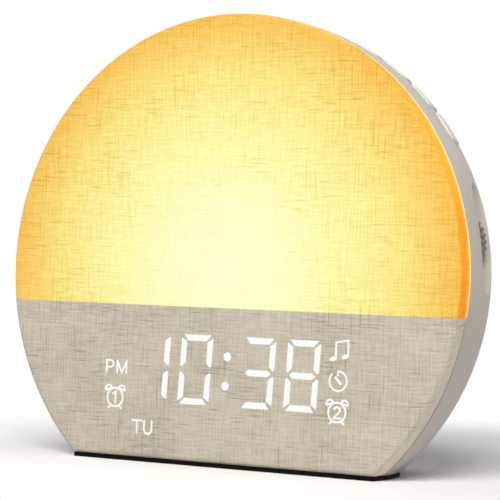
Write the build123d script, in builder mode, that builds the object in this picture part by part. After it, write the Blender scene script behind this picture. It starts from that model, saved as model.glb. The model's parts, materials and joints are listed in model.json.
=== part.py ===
"""Sunrise alarm clock: a fabric-faced lamp disc with a seven-segment display, on a domed rear housing.

Frame: millimetres, +Z up, the fabric face looks along -Y, the base pad rests on Z = 0 and the
origin is below the middle of the body. A "depth" is a distance behind the fabric face.
"""

import os
from math import asin, cos, degrees, hypot, radians, sin, sqrt, tan

from build123d import *

# ---------------------------------------------------------------- driving dimensions (mm)
# outer form
face_radius = 90.0  # round fabric face
overall_depth = 72.0
face_scale = face_radius / 90  # the layout across the face grows with it
depth_scale = overall_depth / 72  # and the layout from front to back with this
foot_drop = 66.3 * face_scale  # disc centre above the flat foot
face_depth = 8.0  # front shell, from the fabric face to the rim of the housing
back_flat_r = 38.0 * face_scale  # flat middle of the domed back
foot_edge_r = 2.0  # round along the housing's foot

# fabric and its shell
fabric_t = 0.8
fabric_wrap = 7.3  # how far the fabric runs back round the side
shell_t = 2.0  # translucent front shell
shell_edge_r = 0.9
shell_corner_r = 3.0
hook_length = 4.0
hook_width = 12.0
hook_t = 1.5
hook_angles = (20, 55, 90, 125, 160)

# rear housing
housing_t = 2.5
fit_gap = 0.4  # between loose-fitting mouldings
shaft_gap = 0.05  # round parts that turn or screw into each other
screw_gap = 0.3  # screws through boards

# base pad
pad_t = 1.5
pad_inset = 0.8

# inner frame
frame_front = 30.0 * depth_scale  # depth of the frame plate's front face
frame_t = 2.0
frame_head_r = 60.0 * face_scale  # the frame's round upper part
divider_rise = 53.9 * face_scale  # middle of the light divider, above the foot
divider_t = 2.0
post_r = 3.0

# housing screws, in wells open to the back
well_circle_r = 48.0 * face_scale
well_angles = (45, 135, 225, 315)
well_outer_r = 4.6
well_bore_r = 3.2
well_floor_t = 3.0
case_screw_r = 1.5
case_screw_head_r = 2.8
case_screw_head_t = 2.0
case_screw_length = 9.0

# small screws for boards
board_screw_r = 1.1
board_screw_head_r = 2.1
board_screw_head_t = 1.4
board_screw_length = 4.0
lamp_screw_length = 6.0
board_t = 1.6

# lamp
tray_floor_depth = 22.0 * depth_scale  # depth of the tray floor's inner face
tray_t = 1.5
tray_back_r = 63.0 * face_scale
tray_slope = 7.0 * face_scale  # how far the tray's lower wall climbs towards the back
lamp_board_w = 90.0 * face_scale
lamp_board_h = 42.0 * face_scale
lamp_board_rise = 86.0 * face_scale  # middle of the lamp board above the foot
lamp_led_size = 5.0
lamp_led_t = 1.6
lamp_led_rows = 4
lamp_led_columns = 6
lamp_led_pitch_x = 14.5 * face_scale
lamp_led_pitch_z = 10.0 * face_scale
lamp_screw_x = 41.5 * face_scale
lamp_screw_z = 16.0 * face_scale

# display
display_rise = 32.1 * face_scale  # middle of the digits above the foot
display_x = 2.4 * face_scale  # middle of the colon
digit_w = 12.8 * face_scale
digit_h = 24.4 * face_scale
digit_pitch = 17.4 * face_scale
colon_space = 7.8 * face_scale  # extra pitch across the colon
digit_slant = 3.0  # degrees
stroke_w = 2.2
stroke_end_gap = 0.9
stroke_mitre = 1.7
colon_dot_r = 1.5
colon_spread = 10.2 * face_scale
film_t = 0.3
block_x = 1.4 * face_scale
block_w = 104.0 * face_scale
block_h = 42.0 * face_scale
block_t = 8.0
block_drop = 4.9 * face_scale  # middle of the display block below the middle of the digits
lens_t = 4.0
display_board_w = 116.0 * face_scale
display_board_h = 43.6 * face_scale
display_screw_x = 55.0 * face_scale
display_screw_z = 17.0 * face_scale
display_led_size = 1.6
display_led_t = 0.8
icon_x = 44.8 * face_scale  # icon columns, left and right of the middle of the block
icon_window_w = 11.0 * face_scale
icon_window_h = 30.0 * face_scale
icon_window_drop = 1.1 * face_scale
week_x = -4.4 * face_scale
week_drop = 21.3 * face_scale  # weekday row below the middle of the digits
week_pitch = 13.5 * face_scale
week_days = 7
week_window_w = 10.0 * face_scale
week_window_h = 5.6 * face_scale

# thumbwheel on the right shoulder
wheel_angle = 9.6  # degrees above the horizontal, seen from the front
wheel_depth = 27.5 * depth_scale  # middle of the wheel
wheel_sink = 1.0  # rim of the wheel below the dome
wheel_r = 12.0 * face_scale
wheel_t = 5.0
wheel_gap = 0.5
flute_count = 32
flute_r = 0.7
scoop_cross_r = 8.5
scoop_sweep_r = 34.5 * face_scale
scoop_depth = 8.0
hub_r = 3.5
hub_length = 2.7
hub_gap = 0.3
wheel_shaft_r = 1.5
pot_r = 3.4
pot_t = 4.0
pot_floor_t = 1.0
wheel_board_w = 17.0  # along the radius
wheel_board_l = 24.0  # along the rim
wheel_board_in = 5.1  # its middle inwards of the wheel axis
wheel_screw_x = 9.0
wheel_screw_in = 9.6  # its screws inwards of the wheel axis
wheel_wall = 0.5  # wheel left between the shaft's end and its front face

# keys
key_names = ("light_button", "sound_button", "timer_button", "alarm_button", "set_button")
key_angle = 54.2  # middle of the row, degrees above the horizontal
key_depth = 26.3 * depth_scale
key_pitch = 13.6 * face_scale
key_l = 11.8 * face_scale
key_w = 9.0
key_corner_r = 2.6
key_raise = 0.6  # above the dome
key_gap = 0.3
key_travel = 0.5
key_edge_r = 0.9
flange_w = 1.2  # flange beyond the key, across the row
flange_end_w = 0.6  # and along it
flange_t = 1.2
plunger_r = 1.6
key_board_r = 66.0 * face_scale  # key board's outer face from the disc axis
key_board_w = 14.0
key_board_l = 62.0 * face_scale
key_board_back = 3.5  # middle of the board behind the middle of the keys
key_post_x = 22.0 * face_scale
key_post_back = 8.4  # posts behind the middle of the keys
key_post_r = 2.2
switch_w = 6.0
switch_h = 3.6
stem_r = 1.6
stem_out = 1.2  # stem above the switch
stem_in = 1.6  # stem inside the switch
snooze_l = 28.0 * face_scale
snooze_w = 9.0
snooze_corner_r = 4.0
snooze_board_l = 22.0
snooze_post_x = 7.5

# speaker
speaker_size = 50.0
speaker_corner_r = 8.0
speaker_flange_t = 1.5
speaker_screw_x = 20.6
basket_r = 22.0
basket_back_r = 15.0
basket_depth = 9.0
basket_t = 1.0
basket_windows = 4
basket_window_w = 15.0
magnet_r = 16.0
magnet_bore_r = 8.0
magnet_t = 8.0
yoke_r = 14.0
yoke_t = 1.5
pole_r = 6.0
coil_gap = 0.3
coil_t = 0.5
cone_t = 0.6
cone_drop = 6.0
dust_cap_rise = 2.5
surround_w = 3.0
gasket_t = 2.0
gasket_w = 2.5
grille_hole_r = 1.1
grille_step = 4.4
grille_rings = 4

# main board, power inlet
main_board_w = 54.0 * face_scale
main_board_h = 24.0
main_board_foot = 12.0  # lower edge above the foot
jack_x = 15.0
jack_rise = 19.0
jack_w = 9.0
jack_h = 11.0
jack_l = 11.15  # from its board to its mouth
jack_bore_r = 3.2
jack_bore_depth = 8.5
jack_pin_r = 1.0
jack_pin_set = 1.0  # pin tip behind the mouth
inlet_r = 4.4
inlet_wall_t = 1.2
main_post_x = 22.5 * face_scale
main_post_z = 8.5
chip_w = 10.0
chip_t = 1.6
capacitor_r = 3.2
capacitor_h = 8.0
chip_x = 5.0  # chips either side of the middle
part_rise = 4.0  # small chip and capacitors above and below it
capacitor_x = -15.5

# back-up cell in the foot
cell_r = 10.0
cell_t = 3.2
bay_x = -22.0 * face_scale
bay_depth = 42.0 * depth_scale
bay_t = 1.2
holder_wall = 2.0
door_r = 11.2
door_lugs = 3
door_lug_reach = 1.3
door_lug_t = 1.1
door_lug_w = 5.0
door_gap = 0.1
coin_slot_l = 15.0
coin_slot_w = 2.0
coin_slot_depth = 1.0
contact_t = 0.4
contact_w = 5.0
contact_l = 17.0

# ---------------------------------------------------------------- places worked out
axis_z = pad_t + foot_drop
foot_z = pad_t
front_y = -overall_depth / 2
back_y = overall_depth / 2
disc_axis = Axis((0, 0, axis_z), (0, 1, 0))
reach = 2 * (face_radius + overall_depth)  # longer than any cut needs

shoulder_r = face_radius - back_flat_r
dome_length = overall_depth - face_depth
shell_back = fabric_t + shell_t  # depth of the front shell's inner face
frame_rear = frame_front + frame_t
divider_z = foot_z + divider_rise
tray_rear = tray_floor_depth + tray_t

film_depth = shell_back
block_depth = film_depth + film_t
display_board_depth = block_depth + block_t
display_z = foot_z + display_rise
block_z = display_z - block_drop
week_z = display_z - week_drop

wall_depth = overall_depth - housing_t  # depth of the back wall's inner face
switch_top = key_board_r + switch_h
stem_top = switch_top + stem_out
display_board_rear = display_board_depth + board_t
lamp_board_z = foot_z + lamp_board_rise
lamp_board_depth = tray_floor_depth - board_t
divider_top = divider_z + divider_t / 2
main_board_z = foot_z + main_board_foot + main_board_h / 2
jack_z = foot_z + jack_rise

door_hole_r = door_r + door_gap
floor_z = foot_z + housing_t  # inner face of the housing's foot
lug_z = floor_z + door_gap
door_top = lug_z + door_lug_t
bay_r = door_r + door_lug_reach + 0.3
bay_y = front_y + bay_depth
cell_z = door_top + door_gap
contact_z = cell_z + cell_t
holder_top = contact_z + contact_t
bay_ceiling = holder_top + 1.0

os.makedirs("parts", exist_ok=True)


# ---------------------------------------------------------------- shared forms
def depth_plane(depth):
    """Upright sketch plane seen from the front: x right, y up, at a depth behind the face."""
    return Plane.XZ.offset(-(front_y + depth))


def rear_plane(x, depth, z):
    """Upright plane at a point, facing the back."""
    return Plane(origin=(x, front_y + depth, z), x_dir=(-1, 0, 0), z_dir=(0, 1, 0))


def radial_plane(angle, distance, depth):
    """Plane square to a radius of the disc: x runs up the rim, z points outwards."""
    turn = radians(angle)
    return Plane(
        origin=(distance * cos(turn), front_y + depth, axis_z + distance * sin(turn)),
        x_dir=(-sin(turn), 0, cos(turn)),
        z_dir=(cos(turn), 0, sin(turn)),
    )


def rim_point(angle, distance, along=0.0):
    """X and Z of a point at an angle and distance from the disc axis, then moved along the rim."""
    turn = radians(angle)
    x = distance * cos(turn) - along * sin(turn)
    return (x, axis_z + distance * sin(turn) + along * cos(turn))


def dome_radius(depth, skin=0.0):
    """Radius of the rear dome at a depth, its skin moved in by skin."""
    along = (depth - face_depth) / (dome_length - skin)
    return back_flat_r + (shoulder_r - skin) * sqrt(1 - along**2)


def dome_depth(radius, skin=0.0):
    """Depth of the rear dome at a distance from the disc axis, its skin moved in by skin."""
    out = max(radius - back_flat_r, 0) / (shoulder_r - skin)
    return face_depth + (dome_length - skin) * sqrt(1 - out**2)


def disc_face(radius, foot_height):
    """Round outline with a flat foot, for a sketch on a depth plane."""
    foot_angle = degrees(asin((axis_z - foot_height) / radius))
    with BuildLine() as outline:
        rim = CenterArc((0, axis_z), radius, -foot_angle, 180 + 2 * foot_angle)
        Line(rim @ 1, rim @ 0)
    make_face(outline.edges())


def front_form(inset, depth_from, depth_to):
    """Front disc with its foot, moved in by inset, its front edge and foot corners rounded."""
    with BuildPart() as form:
        with BuildSketch(depth_plane(depth_from)):
            disc_face(face_radius - inset, foot_z + inset)
        extrude(amount=depth_from - depth_to)
        fillet(form.edges().filter_by(Axis.Y), shell_corner_r + fabric_t - inset)
        fillet(form.faces().sort_by(Axis.Y)[0].edges(), shell_edge_r + fabric_t - inset)
    return form.part


def plain_front(inset, depth_from, depth_to):
    """Front disc with its foot, moved in by inset, with square edges."""
    with BuildPart() as form:
        with BuildSketch(depth_plane(depth_from)):
            disc_face(face_radius - inset, foot_z + inset)
        extrude(amount=depth_from - depth_to)
    return form.part


def dome_form(skin):
    """Rear dome with its flat foot as one solid, its skin moved in by skin."""
    with BuildPart() as form:
        with BuildSketch(Plane.XY.offset(axis_z)):
            with BuildLine():
                shoulder = EllipticalCenterArc(
                    (back_flat_r, front_y + face_depth),
                    shoulder_r - skin,
                    dome_length - skin,
                    arc_size=90,
                )
                Polyline(shoulder @ 1, (0, back_y - skin), (0, front_y + face_depth), shoulder @ 0)
            make_face()
        revolve(axis=disc_axis)
        split(bisect_by=Plane.XY.offset(foot_z + skin), keep=Keep.TOP)
    return form.part


def skin_patch(plane, x, length, width, corner_r, top, bottom):
    """Piece of the dome's skin inside a rounded rectangle, between two dome forms."""
    with BuildPart() as patch:
        with BuildSketch(plane):
            with Locations((x, 0)):
                RectangleRounded(length, width, corner_r)
        extrude(amount=reach)
        add(top, mode=Mode.INTERSECT)
        add(bottom, mode=Mode.SUBTRACT)
    return patch.part


def key_form(plane, x, length, width, corner_r):
    """Key that follows the dome: a cap, a flange behind the housing and a plunger to its switch."""
    inner_r = dome_radius(key_depth, flange_top) - flange_t / 2
    cap = skin_patch(plane, x, length, width, corner_r, dome_key_top, dome_flange_bottom)
    flange = skin_patch(
        plane,
        x,
        length + 2 * flange_end_w,
        width + 2 * flange_w,
        corner_r + flange_end_w,
        dome_flange_top,
        dome_flange_bottom,
    )
    with BuildPart() as key:
        add(cap)
        top_face = key.faces().sort_by(Axis(plane.origin, plane.z_dir))[-1]
        fillet(top_face.edges(), key_edge_r)
        add(flange)
        with BuildSketch(plane):
            with Locations((x, 0)):
                Circle(plunger_r)
        extrude(amount=sqrt(inner_r**2 - max(abs(x) - plunger_r, 0) ** 2) - stem_top)
    return key.part


def switch_body(plane, positions):
    """Tact switches on a board, each with a hole for its stem."""
    with BuildPart() as bodies:
        with BuildSketch(plane):
            with Locations(*positions):
                Rectangle(switch_w, switch_w)
        extrude(amount=switch_h)
        with BuildSketch(plane.offset(switch_h)):
            with Locations(*positions):
                Circle(stem_r + shaft_gap)
        extrude(amount=-(stem_in + key_travel + 0.2), mode=Mode.SUBTRACT)
    return bodies.part


def switch_stem(plane, x):
    """Round stem of a tact switch, up to the plunger of its key."""
    with BuildPart() as stem:
        with BuildSketch(plane.offset(switch_h - stem_in)):
            with Locations((x, 0)):
                Circle(stem_r)
        extrude(amount=stem_in + stem_out)
    return stem.part


def key_board_form(plane, length, screw_x):
    """Board behind the keys, its outer face on the plane, with its two screw holes."""
    with BuildPart() as board:
        with BuildSketch(plane):
            with Locations((0, -key_board_back)):
                RectangleRounded(length, key_board_w, 1)
            with Locations((-screw_x, -key_post_back), (screw_x, -key_post_back)):
                Circle(board_screw_r + screw_gap, mode=Mode.SUBTRACT)
        extrude(amount=-board_t)
    return board.part


def segment_outlines():
    """Corner points of the seven strokes of an upright digit about its own middle."""
    w, h = digit_w / 2, digit_h / 2
    s, e, m = stroke_w, stroke_end_gap, stroke_mitre
    top = [(-w + e, h), (w - e, h), (w - e - m, h - s), (m + e - w, h - s)]
    middle = [(s / 2 - w + 0.2, 0), (s - w + 0.4, s / 2), (w - s - 0.4, s / 2)]
    upper_right = [(w, h - 1.2 * e), (w, e + 0.4), (w - s / 3, e), (w - s, s + 0.2)]
    upper_right += [(w - s, h - s - e / 2)]
    middle += [(-x, -z) for x, z in middle]
    upper_left = [(-x, z) for x, z in upper_right]
    lower_right = [(x, -z) for x, z in upper_right]
    lower_left = [(-x, -z) for x, z in upper_right]
    bottom = [(x, -z) for x, z in top]
    return [top, middle, bottom, upper_left, upper_right, lower_left, lower_right]


def slanted(points, x):
    """Points of a stroke leaned over and moved to a digit's place on the display."""
    lean = tan(radians(digit_slant))
    return [(x + px + pz * lean, display_z + pz) for px, pz in points]


def cap_point(half_width, rise, base):
    """Point halfway down the profile of a round cap that rises from a base towards its middle."""
    ball_r = (half_width**2 + rise**2) / (2 * rise)
    turn = asin(half_width / ball_r) / 2
    return (ball_r * sin(turn), base + rise - ball_r * (1 - cos(turn)))


def screw(radius, length, head_r, head_t):
    """Pan-head screw: the seat of its head is at the origin and its shank points down."""
    with BuildPart() as form:
        with BuildSketch(Plane.XZ):
            with BuildLine():
                Polyline((0, -length), (radius, -length + radius), (radius, 0), (head_r, 0))
                Line((head_r, 0), (head_r, head_t / 2))
                ThreePointArc(
                    (head_r, head_t / 2), (head_r * 0.75, head_t * 0.92), (head_r / 3, head_t)
                )
                Polyline((head_r / 3, head_t), (0, head_t), (0, -length))
            make_face()
        revolve(axis=Axis.Z)
    return form.part


def keep_piece(builder, name):
    """Label a finished piece and write its file."""
    builder.part.label = name
    export_step(builder.part, f"parts/{name}.step")


case_screw = screw(case_screw_r, case_screw_length, case_screw_head_r, case_screw_head_t)
board_screw = screw(board_screw_r, board_screw_length, board_screw_head_r, board_screw_head_t)
lamp_screw = screw(board_screw_r, lamp_screw_length, board_screw_head_r, board_screw_head_t)

dome_outer = dome_form(0)
dome_inner = dome_form(housing_t)
dome_middle = dome_form(housing_t / 2)

# ---------------------------------------------------------------- fabric face and front shell
shell_form = front_form(fabric_t, fabric_t, face_depth)
fabric_form = front_form(0, 0, fabric_wrap)
shell_hollow = plain_front(shell_back, shell_back, face_depth)

with BuildPart() as front_fabric:
    add(fabric_form)
    add(shell_form, mode=Mode.SUBTRACT)
keep_piece(front_fabric, "front_fabric")

hook_r = face_radius - housing_t - fit_gap  # outer face of the hooks, inside the housing's rim
hook_plane_r = hook_r - hook_t
with BuildPart() as diffuser_shell:
    add(shell_form)
    add(shell_hollow, mode=Mode.SUBTRACT)
    for angle in hook_angles:
        # the hook, then its root out to the shell's wall
        with BuildSketch(radial_plane(angle, hook_plane_r, face_depth)):
            Rectangle(hook_width, 2 * hook_length)
        extrude(amount=hook_t - (hook_r - sqrt(hook_r**2 - (hook_width / 2) ** 2)))
        with BuildSketch(radial_plane(angle, hook_plane_r, face_depth - hook_length / 2)):
            Rectangle(hook_width, hook_length)
        extrude(amount=hook_t + housing_t + fit_gap - shell_back + shell_t / 2)
keep_piece(diffuser_shell, "diffuser_shell")

# ---------------------------------------------------------------- rear housing
well_points = [rim_point(angle, well_circle_r) for angle in well_angles]
wheel_centre_r = dome_radius(wheel_depth) - wheel_sink - wheel_r
wheel_board_r = wheel_centre_r - wheel_board_in
wheel_screw_r = wheel_centre_r - wheel_screw_in
wheel_x, wheel_z = rim_point(wheel_angle, wheel_centre_r)
scoop_floor_r = dome_radius(wheel_depth) - scoop_depth
scoop_x, scoop_z = rim_point(wheel_angle, scoop_floor_r + scoop_sweep_r)
scoop_plane = Plane(origin=(scoop_x, front_y + wheel_depth, scoop_z), z_dir=(0, 1, 0))
speaker_points = [
    (x, axis_z + z)
    for x in (-speaker_screw_x, speaker_screw_x)
    for z in (-speaker_screw_x, speaker_screw_x)
]
pot_depth = wheel_depth + wheel_t / 2 + hub_length + hub_gap
wheel_board_depth = pot_depth + pot_t
wheel_board_rear = wheel_board_depth + board_t
wheel_post_points = [
    rim_point(wheel_angle, wheel_screw_r, along) for along in (-wheel_screw_x, wheel_screw_x)
]
jack_corner_r = hypot(abs(jack_x) + jack_w / 2, axis_z - jack_z + jack_h / 2)
jack_mouth = dome_depth(jack_corner_r, housing_t) - fit_gap
main_board_rear = jack_mouth - jack_l
main_board_depth = main_board_rear - board_t

flange_top = housing_t + key_gap  # how far the key flanges lie below the dome
flange_bottom = flange_top + flange_t
dome_key_top = dome_form(-key_raise)
dome_flange_top = dome_form(flange_top)
dome_flange_bottom = dome_form(flange_bottom)
key_plane = radial_plane(key_angle, stem_top, key_depth)
key_board_plane = radial_plane(key_angle, key_board_r, key_depth)
snooze_plane = radial_plane(90, stem_top, key_depth)
snooze_board_plane = radial_plane(90, key_board_r, key_depth)
key_row_half = (len(key_names) - 1) / 2 * key_pitch + key_l / 2 + key_gap
key_cut_r = sqrt(dome_radius(key_depth + key_w / 2, flange_top) ** 2 - key_row_half**2) - 1
pilot_r = board_screw_r + shaft_gap
pilot_depth = board_screw_length - board_t + shaft_gap

with BuildPart() as housing_bosses:
    # screw wells, from the frame to the back wall
    with BuildSketch(depth_plane(frame_rear)):
        with Locations(*well_points):
            Circle(well_outer_r)
    extrude(amount=-reach)
    # speaker posts on the back wall
    with BuildSketch(depth_plane(wall_depth - gasket_t)):
        with Locations(*speaker_points):
            Circle(post_r)
    extrude(amount=-reach)
    # collar round the power inlet
    with BuildSketch(depth_plane(jack_mouth + fit_gap)):
        with Locations((jack_x, jack_z)):
            Circle(inlet_r + inlet_wall_t)
    extrude(amount=-reach)
    # thumbwheel board posts
    with BuildSketch(depth_plane(wheel_board_rear)):
        with Locations(*wheel_post_points):
            Circle(key_post_r)
    extrude(amount=-reach)
    # posts for the boards behind the keys and the snooze bar
    with BuildSketch(key_board_plane):
        with Locations((-key_post_x, -key_post_back), (key_post_x, -key_post_back)):
            Circle(key_post_r)
    extrude(amount=reach)
    with BuildSketch(snooze_board_plane):
        with Locations((-snooze_post_x, -key_post_back), (snooze_post_x, -key_post_back)):
            Circle(key_post_r)
    extrude(amount=reach)
    # wall behind the thumb scoop
    with Locations(scoop_plane):
        Torus(scoop_sweep_r - scoop_cross_r, scoop_cross_r + housing_t)
    # battery bay in the foot
    with BuildSketch(Plane.XY.offset(foot_z)):
        with Locations((bay_x, bay_y)):
            Circle(bay_r + bay_t)
    extrude(amount=bay_ceiling + bay_t - foot_z)
    add(dome_middle, mode=Mode.INTERSECT)

with BuildPart() as rear_housing:
    add(dome_outer)
    foot_face = rear_housing.faces().sort_by(Axis.Z)[0]
    fillet(foot_face.edges().filter_by(GeomType.LINE, reverse=True), foot_edge_r)
    add(dome_inner, mode=Mode.SUBTRACT)
    add(housing_bosses.part)
    # screw wells
    with Locations(*[rear_plane(x, overall_depth, z) for x, z in well_points]):
        CounterBoreHole(
            case_screw_r + screw_gap,
            well_bore_r,
            overall_depth - frame_rear - well_floor_t,
            overall_depth - frame_rear,
        )
    # speaker grille and speaker screw holes
    with Locations(rear_plane(0, overall_depth, axis_z)):
        Hole(grille_hole_r, housing_t)
        for ring in range(1, grille_rings + 1):
            with PolarLocations(ring * grille_step, 6 * ring):
                Hole(grille_hole_r, housing_t)
    with BuildSketch(depth_plane(wall_depth - gasket_t)):
        with Locations(*speaker_points):
            Circle(pilot_r)
    extrude(amount=-(board_screw_length - speaker_flange_t + shaft_gap), mode=Mode.SUBTRACT)
    # power inlet
    with BuildSketch(depth_plane(jack_mouth)):
        with Locations((jack_x, jack_z)):
            Circle(inlet_r)
    extrude(amount=-reach, mode=Mode.SUBTRACT)
    # keys and snooze bar
    with BuildSketch(radial_plane(key_angle, key_cut_r, key_depth)):
        with GridLocations(key_pitch, 0, len(key_names), 1):
            RectangleRounded(key_l + 2 * key_gap, key_w + 2 * key_gap, key_corner_r + key_gap)
    extrude(amount=reach, mode=Mode.SUBTRACT)
    with BuildSketch(radial_plane(90, key_cut_r, key_depth)):
        RectangleRounded(snooze_l + 2 * key_gap, snooze_w + 2 * key_gap, snooze_corner_r + key_gap)
    extrude(amount=reach, mode=Mode.SUBTRACT)
    # thumb scoop and the room for the wheel, which opens a slot in it
    with Locations(scoop_plane):
        Torus(scoop_sweep_r - scoop_cross_r, scoop_cross_r, mode=Mode.SUBTRACT)
    with BuildSketch(depth_plane(wheel_depth - wheel_t / 2 - wheel_gap)):
        with Locations((wheel_x, wheel_z)):
            Circle(wheel_r + wheel_gap)
    extrude(amount=-(wheel_t + 2 * wheel_gap), mode=Mode.SUBTRACT)
    with BuildSketch(depth_plane(wheel_depth)):
        with Locations((wheel_x, wheel_z)):
            Circle(hub_r + wheel_gap)
    extrude(amount=wheel_depth - pot_depth, mode=Mode.SUBTRACT)
    # screw holes in the posts of the boards
    with BuildSketch(key_board_plane):
        with Locations((-key_post_x, -key_post_back), (key_post_x, -key_post_back)):
            Circle(pilot_r)
    extrude(amount=pilot_depth, mode=Mode.SUBTRACT)
    with BuildSketch(snooze_board_plane):
        with Locations((-snooze_post_x, -key_post_back), (snooze_post_x, -key_post_back)):
            Circle(pilot_r)
    extrude(amount=pilot_depth, mode=Mode.SUBTRACT)
    with BuildSketch(depth_plane(wheel_board_rear)):
        with Locations(*wheel_post_points):
            Circle(pilot_r)
    extrude(amount=-pilot_depth, mode=Mode.SUBTRACT)
    # battery bay: bore, door hole and the notches for the door's lugs
    with BuildSketch(Plane.XY.offset(floor_z)):
        with Locations((bay_x, bay_y)):
            Circle(bay_r)
    extrude(amount=bay_ceiling - floor_z, mode=Mode.SUBTRACT)
    with BuildSketch(Plane.XY.offset(foot_z)):
        with Locations((bay_x, bay_y)):
            Circle(door_hole_r)
            with PolarLocations(0, door_lugs, start_angle=180 / door_lugs):
                with Locations((door_r, 0)):
                    Rectangle(2 * (door_lug_reach + 0.3), door_lug_w + 2 * fit_gap)
    extrude(amount=housing_t, mode=Mode.SUBTRACT)
keep_piece(rear_housing, "rear_housing")

# ---------------------------------------------------------------- base pad
pad_front = plain_front(pad_inset, pad_inset, face_depth)
pad_dome = dome_form(pad_inset)
with BuildPart() as pad_outline:
    add(pad_front)
    add(pad_dome)
    split(bisect_by=Plane.XY.offset(foot_z + pad_inset), keep=Keep.TOP)

with BuildPart() as base_pad:
    extrude(
        pad_outline.faces().sort_by(Axis.Z)[0].moved(Location((0, 0, -pad_inset))),
        amount=pad_t,
        dir=(0, 0, -1),
    )
    with Locations((bay_x, bay_y, pad_t)):
        Hole(door_r + door_lug_reach + 1, pad_t)
keep_piece(base_pad, "base_pad")

# ---------------------------------------------------------------- inner frame
frame_r = dome_radius(frame_rear, housing_t) - fit_gap
divider_half = sqrt((frame_r - 1) ** 2 - (axis_z - divider_z) ** 2)
lamp_points = [
    (x, lamp_board_z + z)
    for x in (-lamp_screw_x, lamp_screw_x)
    for z in (-lamp_screw_z, lamp_screw_z)
]
display_points = [
    (block_x + x, block_z + z)
    for x in (-display_screw_x, display_screw_x)
    for z in (-display_screw_z, display_screw_z)
]
main_points = [
    (x, main_board_z + z) for x in (-main_post_x, main_post_x) for z in (-main_post_z, main_post_z)
]

with BuildPart() as mid_frame:
    # plate: wide below the light divider, with a round head above it
    with BuildSketch(depth_plane(frame_front)):
        disc_face(frame_r, floor_z + fit_gap)
        with Locations((0, divider_z)):
            Rectangle(
                2 * face_radius,
                2 * face_radius,
                align=(Align.CENTER, Align.MIN),
                mode=Mode.SUBTRACT,
            )
        with Locations((0, axis_z)):
            Circle(frame_head_r)
        with Locations((bay_x, foot_z)):
            Rectangle(
                2 * (bay_r + bay_t + fit_gap),
                2 * (bay_ceiling + bay_t + fit_gap - foot_z),
                mode=Mode.SUBTRACT,
            )
    extrude(amount=-frame_t)
    # light divider, forward to the shell
    with BuildSketch(depth_plane(shell_back)):
        with Locations((0, divider_z)):
            Rectangle(2 * divider_half, divider_t)
    extrude(amount=shell_back - frame_rear)
    # posts for the housing screws, the lamp tray and the display
    with BuildSketch(depth_plane(tray_rear)):
        with Locations(*well_points):
            Circle(well_outer_r)
        with Locations(*lamp_points):
            Circle(post_r)
    extrude(amount=tray_rear - frame_rear)
    with BuildSketch(depth_plane(display_board_rear)):
        with Locations(*display_points):
            Circle(post_r)
    extrude(amount=display_board_rear - frame_rear)
    # posts for the main board, backwards
    with BuildSketch(depth_plane(frame_front)):
        with Locations(*main_points):
            Circle(post_r)
    extrude(amount=frame_front - main_board_depth)
    # screw holes
    with BuildSketch(depth_plane(frame_rear)):
        with Locations(*well_points):
            Circle(case_screw_r + shaft_gap)
    extrude(amount=case_screw_length - well_floor_t + shaft_gap, mode=Mode.SUBTRACT)
    with BuildSketch(depth_plane(tray_rear)):
        with Locations(*lamp_points):
            Circle(pilot_r)
    extrude(amount=-(lamp_screw_length - board_t - tray_t + shaft_gap), mode=Mode.SUBTRACT)
    with BuildSketch(depth_plane(display_board_rear)):
        with Locations(*display_points):
            Circle(pilot_r)
    extrude(amount=-pilot_depth, mode=Mode.SUBTRACT)
    with BuildSketch(depth_plane(main_board_depth)):
        with Locations(*main_points):
            Circle(pilot_r)
    extrude(amount=pilot_depth, mode=Mode.SUBTRACT)
keep_piece(mid_frame, "mid_frame")

with BuildPart() as housing_screws:
    with Locations(*[rear_plane(x, frame_rear + well_floor_t, z) for x, z in well_points]):
        add(case_screw)
keep_piece(housing_screws, "housing_screws")

# ---------------------------------------------------------------- lamp
tray_front = shell_back + fit_gap
tray_front_r = hook_plane_r - fit_gap
tray_foot = divider_top + fit_gap

with BuildPart() as tray_hollow:
    with BuildSketch(depth_plane(tray_front)):
        disc_face(tray_front_r - tray_t, tray_foot + tray_t)
    with BuildSketch(depth_plane(tray_floor_depth)):
        disc_face(tray_back_r - tray_t, tray_foot + tray_slope + tray_t)
    loft()

with BuildPart() as reflector_tray:
    with BuildSketch(depth_plane(tray_front)):
        disc_face(tray_front_r, tray_foot)
    with BuildSketch(depth_plane(tray_rear)):
        disc_face(tray_back_r, tray_foot + tray_slope)
    loft()
    add(tray_hollow.part, mode=Mode.SUBTRACT)
    with BuildSketch(depth_plane(tray_floor_depth)):
        with Locations(*lamp_points):
            Circle(board_screw_r + screw_gap)
    extrude(amount=-tray_t, mode=Mode.SUBTRACT)
keep_piece(reflector_tray, "reflector_tray")

with BuildPart() as lamp_board:
    with BuildSketch(depth_plane(lamp_board_depth)):
        with Locations((0, lamp_board_z)):
            RectangleRounded(lamp_board_w, lamp_board_h, post_r)
        with Locations(*lamp_points):
            Circle(board_screw_r + screw_gap, mode=Mode.SUBTRACT)
    extrude(amount=-board_t)
keep_piece(lamp_board, "lamp_board")

with BuildPart() as lamp_leds:
    with BuildSketch(depth_plane(lamp_board_depth - lamp_led_t)):
        with Locations((0, lamp_board_z)):
            with GridLocations(lamp_led_pitch_x, lamp_led_pitch_z, lamp_led_columns, lamp_led_rows):
                Rectangle(lamp_led_size, lamp_led_size)
    extrude(amount=-lamp_led_t)
keep_piece(lamp_leds, "lamp_leds")

with BuildPart() as lamp_screws:
    with Locations(*[depth_plane(lamp_board_depth) * Location((x, z, 0)) for x, z in lamp_points]):
        add(lamp_screw)
keep_piece(lamp_screws, "lamp_screws")

# ---------------------------------------------------------------- display
digit_middles = [
    display_x + side * (colon_space / 2 + (place + 0.5) * digit_pitch)
    for side in (-1, 1)
    for place in (0, 1)
]
strokes = [slanted(points, x) for x in digit_middles for points in segment_outlines()]
dot_lean = tan(radians(digit_slant)) * colon_spread / 2
colon_dots = [
    (display_x + side * dot_lean, display_z + side * colon_spread / 2) for side in (-1, 1)
]

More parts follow.
